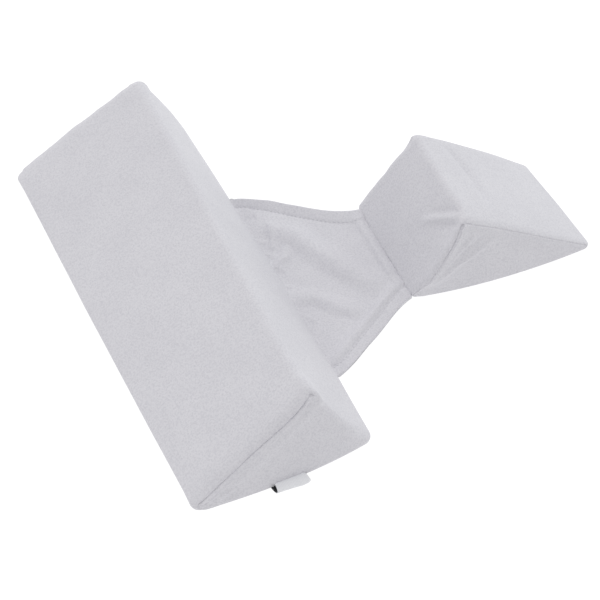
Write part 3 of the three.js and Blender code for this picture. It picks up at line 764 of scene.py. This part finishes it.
# The cloth between the steep faces. Positions across it run from 0 at the large wedge, on its left, to 1 at
# the small wedge, on its right.
bridge = {
    "thickness": 2.4,
    "tuck": 1.5,  # how far from a wedge the cloth starts to lose lift
    "hemExtra": 0.9,  # what a turned hem adds to the thickness
    "besideHem": 1.7,  # how far the finer rows reach, in hem widths
    "roundedEdge": 1.5,
    "stitchGroove": 0.5,  # along the near hem only
    "stitchGrooveWidth": 2.2,
    # How sharply the cloth thickens at the stitches of its two hems
    "hemSharpness": {"near": 2, "far": 1.6},
    # A roll along the inner side of each hem: how far inside the stitches, its widths and its height
    "hemRoll": {
        "near": {"inside": 6, "toHem": 4.2, "away": 4.5,
                 "rise": [(0, 1), (0.2, 1.5), (0.5, 2), (0.8, 2), (1, 1.2)]},
        "far": {"inside": 3.2, "toHem": 2, "away": 12,
                "rise": [(0, 1.8), (0.3, 1.8), (0.5, 0.8), (0.7, 0.2), (1, 0)]},
    },
    # Beside each wedge the cloth keeps a share of its lift, stays a gap clear of the cover's foot and leans
    # with the cover by a slope. Along the large wedge it also curls up.
    "besideWedge": {"keptLift": {"left": 0.85, "right": 1}, "gap": {"left": 0.1, "right": 0.4},
                    "slope": {"left": 0.62, "right": 0.2}, "slopeWidth": 3, "curl": 1.3, "curlWidth": 1.4},
    "columns": 130,
    "hemRows": 40,
    "innerRows": 130,
    "nearEdge": [(0, 60.5), (0.5, 81.8), (1, 104.4)],
    "nearHemWidth": [(0, 7.6), (0.35, 8.5), (0.7, 9), (1, 9.6)],
    "farEdge": [(0, 244.8), (0.27, 232.9), (0.5, 217.8), (0.75, 203.9), (1, 197.2)],
    "farHemWidth": [(0, 7), (0.3, 10.5), (1, 11)],
    "farHemLift": [(0, 3.4), (0.4, 3.4), (0.75, 2.6), (1, 1.5)],
    # Each main fold's crest in plan, and how far it spreads to the left and right of it
    "folds": {
        "long fold": {"crest": [(144.3, 213), (161.3, 191), (173.3, 164), (185.3, 140), (199.5, 117.5)],
                      "left": 17, "right": 15, "rise": 5},
        "middle fold": {"crest": [(131, 139.5), (149, 132.5), (162, 117), (176, 106)],
                        "left": 13, "right": 10, "rise": 2.8},
        "near hem puff": {"crest": [(134, 74), (157, 87), (182, 101.5), (210, 117.5)],
                          "left": 8, "right": 14, "rise": 2.2},
        "wedge roll": {"crest": [(208, 120), (208.8, 150), (210, 190)], "left": 5, "right": 9, "rise": 3.4},
        "short fold": {"crest": [(137, 168), (147, 179), (156, 189)], "left": 8, "right": 8, "rise": 1.8},
    },
    "foldEnd": 0.04,
    "foldPoints": 48,
    # Small creases beside the folds, most of them where the large wedge's seam gathers the cloth
    "creases": [
        {"crest": [(148.6, 208.3), (145, 197.8), (142.5, 189.9)], "width": 2.4, "rise": 1.4},
        {"crest": [(136.7, 198.9), (140.2, 195.8)], "width": 1.6, "rise": 0.7},
        {"crest": [(137.1, 185.2), (140.5, 180.6)], "width": 1.6, "rise": 0.7},
        {"crest": [(139.2, 172.8), (147.1, 175.9)], "width": 1.8, "rise": 0.7},
        {"crest": [(137.9, 170), (140.1, 165.3)], "width": 1.6, "rise": 0.7},
        {"crest": [(135.3, 152.3), (139.8, 148)], "width": 1.6, "rise": 0.7},
        {"crest": [(136.9, 120.8), (140.9, 113.4)], "width": 1.6, "rise": 0.7},
        {"crest": [(134.5, 232), (136.8, 227.8), (140.3, 221.8)], "width": 2.2, "rise": -1.6},
    ],
    "creasePoints": 12,
    "uneven": {"rise": 0.5, "size": 12, "seed": 5.3},
    "flat": (0.082, 0.182),
    "flatArea": 0.0117,
}


bridgeLines = ("nearEdge", "farEdge", "nearHemWidth", "farHemWidth")


def bridgeEdges(y):
    # Floor edges of the two wedges at each y, with the gap to the cloth
    edges = []
    gaps = bridge["besideWedge"]["gap"]
    for wedge, corner, gap in ((largeWedge, "right", gaps["left"]), (smallWedge, "left", -gaps["right"])):
        near, far = wedge["near"][corner], wedge["far"][corner]
        share = (y - near[1]) / (far[1] - near[1])
        edges.append(near[0] + (far[0] - near[0]) * share
                     + wedge["edgeBow"][corner] * np.sin(math.pi * share) + gap)
    return edges


def foldHeights(places):
    # The highest of the folds at each place, with the creases and a slight unevenness added
    height = np.zeros(len(places))
    for fold in bridge["folds"].values():
        distance, side, travel = alongLine(places, curveThrough(fold["crest"], bridge["foldPoints"]))
        reach = np.where(side > 0, fold["left"], fold["right"])
        slope = np.where(distance < reach, 0.5 + 0.5 * np.cos(math.pi * distance / reach), 0)
        travel = bridge["foldEnd"] + (1 - 2 * bridge["foldEnd"]) * travel
        height = np.maximum(height, fold["rise"] * slope * np.sqrt(np.sin(math.pi * travel)))
    for crease in bridge["creases"]:
        distance, _, _ = alongLine(places, curveThrough(crease["crest"], bridge["creasePoints"]))
        height += crease["rise"] * np.exp(-((distance / crease["width"]) ** 2))
    flat = np.concatenate([places, np.zeros((len(places), 1))], axis=1)
    uneven = bridge["uneven"]
    return height + uneven["rise"] * unevenness(flat, uneven["size"], uneven["seed"])


def bridgeRow(across, offset, fromFar, x, y):
    # Underside and top of the cloth, and where its top lies across, at points that are offset from the near
    # edge and fromFar from the far one
    leftX, rightX = bridgeEdges(y)
    beside = bridge["besideWedge"]
    settle = np.ones(len(x))
    lean = np.zeros(len(x))
    for side, sign, away in (("left", -1, x - leftX), ("right", 1, rightX - x)):
        share = np.clip(away / bridge["tuck"], 0, 1)
        kept = beside["keptLift"][side]
        settle *= kept + (1 - kept) * share * share * (3 - 2 * share)
        lean += sign * beside["slope"][side] * np.exp(-((away / beside["slopeWidth"]) ** 2))
    nearHem, farHem = (smoothLine(bridge[width], across)[:, 0] for width in ("nearHemWidth", "farHemWidth"))
    lift = np.maximum(foldHeights(np.stack([x, y], axis=1)), 0) * settle
    lift += smoothLine(bridge["farHemLift"], across)[:, 0] * np.clip(1 - fromFar / farHem, 0, 1) * settle
    lift += beside["curl"] * np.exp(-(((x - leftX) / beside["curlWidth"]) ** 2))
    for side, fromEdge, hem in (("near", offset, nearHem), ("far", fromFar, farHem)):
        roll = bridge["hemRoll"][side]
        fromRoll = fromEdge - hem - roll["inside"]
        fromRoll /= np.where(fromRoll < 0, roll["toHem"], roll["away"])
        lift += smoothLine(roll["rise"], across)[:, 0] * np.exp(-(fromRoll ** 2)) * settle
    near = offset < fromFar
    fromStitches = np.where(near, offset - nearHem, fromFar - farHem)
    sharpness = np.where(near, bridge["hemSharpness"]["near"], bridge["hemSharpness"]["far"])
    thickness = bridge["thickness"] + bridge["hemExtra"] / (1 + np.exp(fromStitches * sharpness))
    groove = near * bridge["stitchGroove"] * np.exp(-((fromStitches / bridge["stitchGrooveWidth"]) ** 2))
    rounding = np.clip(1 - np.minimum(offset, fromFar) / bridge["roundedEdge"], 0, 1)
    half = thickness / 2 * np.sqrt(1 - rounding ** 2)
    low, high = lift + thickness / 2 - half, lift + thickness / 2 + half - groove
    return low, high, x + high * lean


def makeBridge():
    hem = np.linspace(0, bridge["besideHem"], bridge["hemRows"] + 1)
    top, under = [], []
    for across in np.linspace(0, 1, bridge["columns"] + 1):
        nearY, farY, nearWidth, farWidth = (smoothLine(bridge[line], across)[0] for line in bridgeLines)
        nearHem, farHem = hem * nearWidth, hem * farWidth
        inner = np.linspace(nearHem[-1], farY - nearY - farHem[-1], bridge["innerRows"] + 1)[1:-1]
        offset = np.concatenate([nearHem, inner, farY - nearY - farHem[::-1]])
        y = nearY + offset
        leftX, rightX = bridgeEdges(y)
        x = leftX + (rightX - leftX) * across
        low, high, topX = bridgeRow(np.full(len(y), across), offset, farY - y, x, y)
        under.append(np.stack([x, y, low], axis=1))
        top.append(np.stack([topX, y, high], axis=1))
    columns, rows = len(top), len(top[0])
    below = columns * rows
    faces = []
    for column in range(columns - 1):
        here, there = column * rows, (column + 1) * rows
        for a, b in zip(range(here, there - 1), range(there, there + rows - 1)):
            faces.append((a, b, b + 1, a + 1))
            faces.append((below + a, below + a + 1, below + b + 1, below + b))
        faces.append((below + here, below + there, there, here))
        here, there = here + rows - 1, there + rows - 1
        faces.append((here, there, below + there, below + here))
    for left in range(rows - 1):
        faces.append((left, left + 1, below + left + 1, below + left))
        right = (columns - 1) * rows + left
        faces.append((below + right, below + right + 1, right + 1, right))
    return makeObject("cloth_bridge", toFrame(np.concatenate(top + under)), faces)


# Lockstitch along a hem: short threads that lie sunk in the cloth and dip into it at their blunt ends. The dip
# and the size of an end are shares of the thread.
hemStitches = {
    "length": 2.3, "gap": 0.9, "thread": 0.42, "sunk": 0.12, "dip": 0.8, "bluntness": 4, "endSize": 0.2,
    "sides": 8, "rounds": 5, "ends": 3, "routePoints": 400,
}


def makeHemStitches(name, fromNear):
    acrosses = np.linspace(0, 1, hemStitches["routePoints"])
    nearY, farY, nearHem, farHem = (smoothLine(bridge[line], acrosses)[:, 0] for line in bridgeLines)
    y = nearY + nearHem if fromNear else farY - farHem
    leftX, rightX = bridgeEdges(y)
    x = leftX + (rightX - leftX) * acrosses
    _, high, topX = bridgeRow(acrosses, y - nearY, farY - y, x, y)
    thick, sides, rounds = (hemStitches[key] for key in ("thread", "sides", "rounds"))
    route = np.stack([topX, y, high - hemStitches["sunk"] + thick / 2], axis=1)
    reached = np.concatenate([[0], np.cumsum(np.linalg.norm(np.diff(route, axis=0), axis=1))])
    points, faces = [], []
    pitch = hemStitches["length"] + hemStitches["gap"]
    for start in np.arange(hemStitches["ends"], reached[-1] - hemStitches["ends"] - pitch, pitch):
        spots = start + hemStitches["length"] * np.linspace(0, 1, rounds)
        centres = np.stack([np.interp(spots, reached, route[:, axis]) for axis in range(3)], axis=1)
        way = Vector(centres[-1] - centres[0]).normalized()
        side = way.cross(Vector((0, 0, 1))).normalized()
        up = side.cross(way)
        first = len(points)
        for centre, part in zip(centres, np.linspace(-1, 1, rounds)):
            ending = part ** hemStitches["bluntness"]
            radius = thick / 2 * max(math.sqrt(1 - ending), hemStitches["endSize"])
            dip = Vector(centre) - up * (thick * hemStitches["dip"] * ending)
            for angle in np.linspace(0, 2 * math.pi, sides, endpoint=False):
                points.append(dip + (side * math.cos(angle) + up * math.sin(angle)) * radius)
        last = first + (rounds - 1) * sides
        for ring in range(first, last, sides):
            faces += joinRings(ring, ring + sides, sides)
        faces.append(tuple(range(first, first + sides))[::-1])
        faces.append(tuple(range(last, last + sides)))
    return makeObject(name, toFrame(np.array(points)), faces)


print("scene: cloth bridge")
clothBridge = makeBridge()
clothBridge.data.materials.append(terryCottonMaterial)
nearStitches = makeHemStitches("near_hem_stitches", True)
farStitches = makeHemStitches("far_hem_stitches", False)
for stitches in (nearStitches, farStitches):
    stitches.data.materials.append(sewingThreadMaterial)
    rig.ride(stitches, "root")
    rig.slot(stitches, "terry_bridge")
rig.ride(clothBridge, "root")
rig.replaces(clothBridge, "bridge_panel")
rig.slot(clothBridge, "terry_bridge")
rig.sheet(clothBridge, flat=bridge["flat"], held="laid", rests_on=["large_cushion", "small_cushion"],
         area=bridge["flatArea"], with_pieces=[nearStitches, farStitches])


# Satin tape folded double, its two ends caught in the bottom seam of the large wedge's near end
label = {
    "fromX": 54.6,
    "toX": 79,
    "tape": 0.45,
    # Side view of the tape's middle line from the upper end round the fold to the lower end: (out, up)
    "loop": [(-1.1, 2.9), (0.7, 3.4), (2.8, 3.2), (4.6, 2.6), (5.6, 1.9), (5.8, 1.3), (5.3, 0.8), (4, 0.65),
             (2, 0.65), (-0.3, 0.65)],
    "loopPoints": 44,
    "widthSteps": 40,
    # The upper layer, which lies above this height, waves up and down across the tape
    "wave": {"rise": 0.18, "turns": 1.15, "start": 0.6, "above": 1},
    "seamHeight": 1.15,
    "caught": 0.05,  # how far the tape's ends start inside the cover's plane
    "lowest": 0.1,
    # How far the tape reaches, as a share of the loop, from its right side to its left
    "reach": [(0, 1), (0.06, 1.16), (0.25, 1.2), (0.5, 1.05), (0.9, 0.98), (1, 0.96)],
    # How far the tape slips to the right at each share of the way round the loop, at its right side and at
    # its left. The upper layer is caught askew, so its left side lies open.
    "slip": [(0, 0, 2.7), (0.5, 1.4, 2), (1, 0, 0)],
    "flat": (0.0245, 0.0145),
}


def makeLabel():
    def foot(x):
        # The floor point straight below the cover's surface at the height of the seam
        z = label["seamHeight"]
        return np.array([x, sectionPlane(largeWedge, 0, x, z) - endFullness(largeWedge, "near", x, z), 0])

    start, end = foot(label["toX"]), foot(label["fromX"])
    length = np.linalg.norm(end - start)
    along = (end - start) / length
    outward = np.array([-along[1], along[0], 0])
    loop = curveThrough(label["loop"], label["loopPoints"])
    furthest = max(out for out, _ in label["loop"])
    slips = smoothLine(label["slip"], np.linspace(0, 1, label["loopPoints"]))
    slips = np.concatenate([slips, slips[::-1]])
    way = np.gradient(loop, axis=0)
    way /= np.linalg.norm(way, axis=1)[:, None]
    square = np.stack([way[:, 1], -way[:, 0]], axis=1) * label["tape"] / 2
    ring = np.concatenate([loop - square, (loop + square)[::-1]])
    points = []
    for part in np.linspace(0, 1, label["widthSteps"] + 1):
        turn = 2 * math.pi * label["wave"]["turns"] * part + label["wave"]["start"]
        wave = label["wave"]["rise"] * math.sin(turn)
        seam = foot(label["toX"] + (label["fromX"] - label["toX"]) * part)
        proud = (seam - start) @ outward - label["caught"]
        reach = smoothLine(label["reach"], part)[0]
        for (out, up), (rightSlip, leftSlip) in zip(ring, slips):
            slip = rightSlip + (leftSlip - rightSlip) * part ** 2
            if up > label["wave"]["above"]:
                up += wave * max(out, 0) / furthest
            points.append(start + along * (length * part - slip) + outward * (proud + out * reach)
                          + np.array([0, 0, max(up, label["lowest"])]))
    around = len(ring)
    last = label["widthSteps"] * around
    faces = []
    for here in range(0, last, around):
        faces += joinRings(here, here + around, around)
    for step in range(label["loopPoints"] - 1):
        other = around - 1 - step
        faces.append((step, other, other - 1, step + 1)[::-1])
        faces.append((last + step, last + other, last + other - 1, last + step + 1))
    piece = makeObject("folded_label", toFrame(np.array(points)), faces)
    # The tape's back, coloured near black, shows only inside the loop
    inner = range(label["loopPoints"], around - 1)
    for face in piece.data.polygons[:last]:
        face.material_index = int(face.index % around in inner)
    return piece


print("scene: label")
foldedLabel = makeLabel()
for material in (satinTapeMaterial, satinTapeBackMaterial):
    foldedLabel.data.materials.append(material)
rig.ride(foldedLabel, "root")
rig.replaces(foldedLabel, "side_label")
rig.slot(foldedLabel, "woven_label")
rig.sheet(foldedLabel, flat=label["flat"], held="folded", rests_on=["large_cushion"])


# The photo is cut out on plain white, so the floor is matt white paper under a soft sky. The paper glows,
# which keeps it white and throws light up at the covers.
studio = {
    "floor": {"size": 12, "colour": "#858585", "roughness": 1, "specular": 0, "glow": "#ffffff",
              "glowStrength": 0.87, "grainSpacing": 10 / 3, "grainHeight": 0.1, "grainStrength": 0.05},
    # The soft light comes mostly from above and from behind: lean is what each direction adds to its strength
    "sky": {"colour": "#ffffff", "strength": 0.85, "lean": (0.11, 0.34, 0.22)},
    # The camera's place is in the plan's millimetres
    "camera": {"place": (-232.678, -673.339, 1010.247), "tilt": 41.4553, "turn": -24.7082, "lens": 114,
               "sensor": 36},
    "lights": [
        {"name": "side window", "towards": (0.8, 0.4, 0.25), "distance": 3, "size": 1.2, "energy": 3,
         "colour": "#d4fff8"},
    ],
}


def makeStudio():
    look = studio["floor"]
    half = look["size"] / 2
    corners = np.array([(-half, -half, 0), (half, -half, 0), (half, half, 0), (-half, half, 0)], float)
    floor = makeObject("floor", corners, [(0, 1, 2, 3)])
    material, place = newMaterial("whitePaper")
    grain = addNode(material, "TexNoise", {
        "Vector": place, "Scale": metre / look["grainSpacing"],
    }).outputs["Fac"]
    bump = addNode(material, "Bump", {
        "Strength": look["grainStrength"], "Distance": look["grainHeight"] * plan["millimetre"],
        "Height": grain,
    }).outputs["Normal"]
    paper = addNode(material, "BsdfPrincipled", {
        "Base Color": linearColour(look["colour"]), "Roughness": look["roughness"],
        "Specular IOR Level": look["specular"], "Emission Color": linearColour(look["glow"]),
        "Emission Strength": look["glowStrength"], "Normal": bump,
    })
    addNode(material, "OutputMaterial", {"Surface": paper.outputs["BSDF"]})
    floor.data.materials.append(material)
    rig.stage(floor)

    sky = studio["sky"]
    world = bpy.data.worlds.new("studio")
    world.use_nodes = True
    world.node_tree.nodes.clear()
    towards = addNode(world, "TexCoord").outputs["Generated"]
    lean = addNode(world, "VectorMath", {0: towards, 1: sky["lean"]}, operation="DOT_PRODUCT")
    strength = addNode(world, "Math", {0: lean.outputs["Value"], 1: sky["strength"]}, operation="ADD")
    background = addNode(world, "Background", {
        "Color": linearColour(sky["colour"]), "Strength": strength.outputs["Value"],
    })
    addNode(world, "OutputWorld", {"Surface": background.outputs["Background"]})
    bpy.context.scene.world = world

    for settings in studio["lights"]:
        lamp = bpy.data.lights.new(settings["name"], "AREA")
        lamp.shape = "DISK"
        lamp.size = settings["size"]
        lamp.energy = settings["energy"]
        lamp.color = linearColour(settings["colour"])[:3]
        light = bpy.data.objects.new(settings["name"], lamp)
        direction = Vector(settings["towards"]).normalized()
        light.location = direction * settings["distance"]
        light.rotation_euler = direction.to_track_quat("Z", "Y").to_euler()
        bpy.context.scene.collection.objects.link(light)

    settings = studio["camera"]
    camera = bpy.data.objects.new("camera", bpy.data.cameras.new("camera"))
    camera.location = toFrame(settings["place"])
    camera.rotation_euler = (math.radians(settings["tilt"]), 0, math.radians(settings["turn"]))
    camera.data.lens = settings["lens"]
    camera.data.sensor_width = settings["sensor"]
    bpy.context.scene.collection.objects.link(camera)
    bpy.context.scene.camera = camera
    bpy.context.scene.view_settings.view_transform = "Standard"


print("scene: studio")
makeStudio()

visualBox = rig.bounds()
with open(plan["sizeFile"], "w") as sizeFile:
    json.dump({
        "cad": [[float(value) for value in corner] for corner in cadBox],
        "visual": [[float(value) for value in corner] for corner in visualBox],
    }, sizeFile)
print("scene: done")
